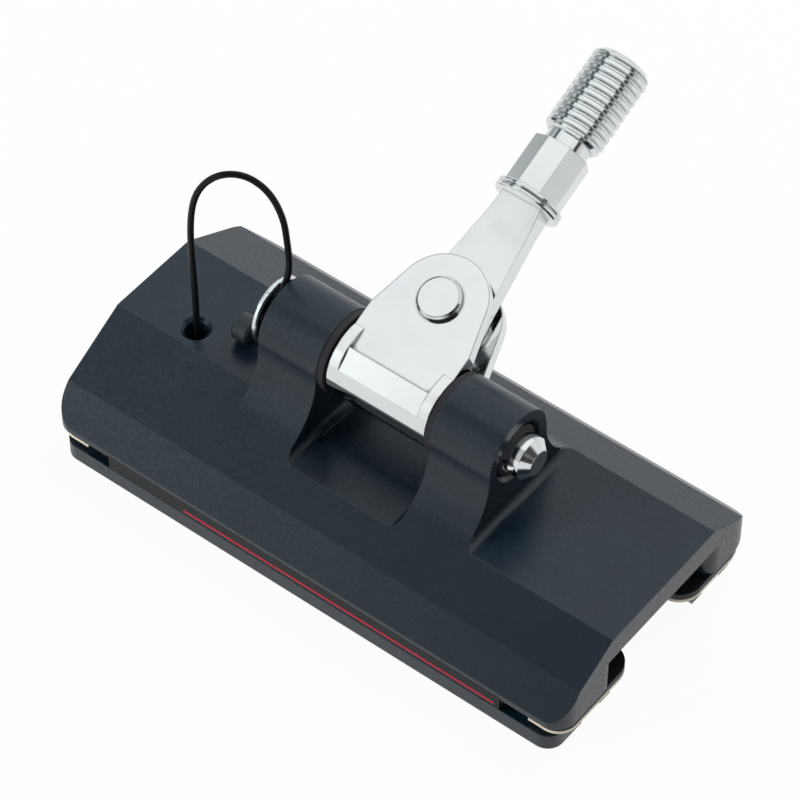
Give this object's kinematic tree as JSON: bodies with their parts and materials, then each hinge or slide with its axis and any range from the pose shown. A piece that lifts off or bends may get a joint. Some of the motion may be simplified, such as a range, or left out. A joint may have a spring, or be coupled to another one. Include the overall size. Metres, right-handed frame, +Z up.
{
  "type": "batten car",
  "caption": "Ball-bearing track car for a sail batten, with a forked pivot housing, a toggle on a quick-release pin and a threaded batten stud",
  "frame": {"origin": "centre of the body's underside, in the middle of the track channel", "axes": "X along the track, Y across it towards the side that the stud leans to, Z up through the fork"},
  "size_m": [0.139, 0.1159, 0.0782],
  "materials": {
    "anodised": "satin hard-anodised aluminium alloy, near black with a faint blue cast",
    "stainless": "polished stainless steel",
    "acetal": "cream moulded acetal",
    "ball_plastic": "off-white bearing plastic",
    "black_plastic": "black moulded plastic, slight sheen",
    "dark_tape": "dark printed side strip with one thin red line",
    "black_cable": "black coated wire cord",
    "ferrule_metal": "dark crimped ferrule"
  },
  "bodies": {
    "car": {"car_body": "anodised", "near_side_strip": "dark_tape", "far_side_strip": "dark_tape", "ball_guide_near_right": "acetal", "ball_guide_far_right": "acetal", "ball_guide_near_left": "acetal", "ball_guide_far_left": "acetal", "guide_screws": "stainless", "near_balls": "ball_plastic", "far_balls": "ball_plastic", "near_ball_wire": "stainless", "far_ball_wire": "stainless", "left_bush": "black_plastic", "right_bush": "black_plastic", "pin_shank": "stainless", "pin_head": "stainless", "release_spring": "stainless", "lanyard_cord": "black_cable", "lanyard_stop": "black_plastic", "lanyard_ferrule": "ferrule_metal"},
    "toggle": {"toggle": "stainless", "toggle_rivet": "stainless", "blade_washers": "stainless"},
    "stud": {"stud": "stainless"},
    "button": {"release_button": "stainless"},
    "lock_ball_near": {"lock_ball_near": "stainless"},
    "lock_ball_far": {"lock_ball_far": "stainless"}
  },
  "joints": [
    {"name": "toggle_swing", "type": "hinge", "parent": "car", "child": "toggle", "pos_m": [0, 0, 0.0383], "axis": [1, 0, 0], "range_deg": [-33.5, 166.5]},
    {"name": "stud_swing", "type": "hinge", "parent": "toggle", "child": "stud", "pos_m": [0, 0.01651, 0.04548], "axis": [0, -0.3987, 0.9171], "range_deg": [-75, 75]},
    {"name": "button_push", "type": "slide", "parent": "car", "child": "button", "axis": [1, 0, 0], "range_m": [0, 0.0018], "stiffness_N_per_m": 400, "springref_m": -0.002, "deforming": ["release_spring"]},
    {"name": "lock_ball_near_in", "type": "slide", "parent": "car", "child": "lock_ball_near", "axis": [0, 1, 0], "range_m": [0, 0.0005]},
    {"name": "lock_ball_far_in", "type": "slide", "parent": "car", "child": "lock_ball_far", "axis": [0, -1, 0], "range_m": [0, 0.0005]}
  ],
  "couplings": [
    {"joint": "lock_ball_near_in", "follows": "button_push", "ratio": 0.2777},
    {"joint": "lock_ball_far_in", "follows": "button_push", "ratio": 0.2777}
  ]
}
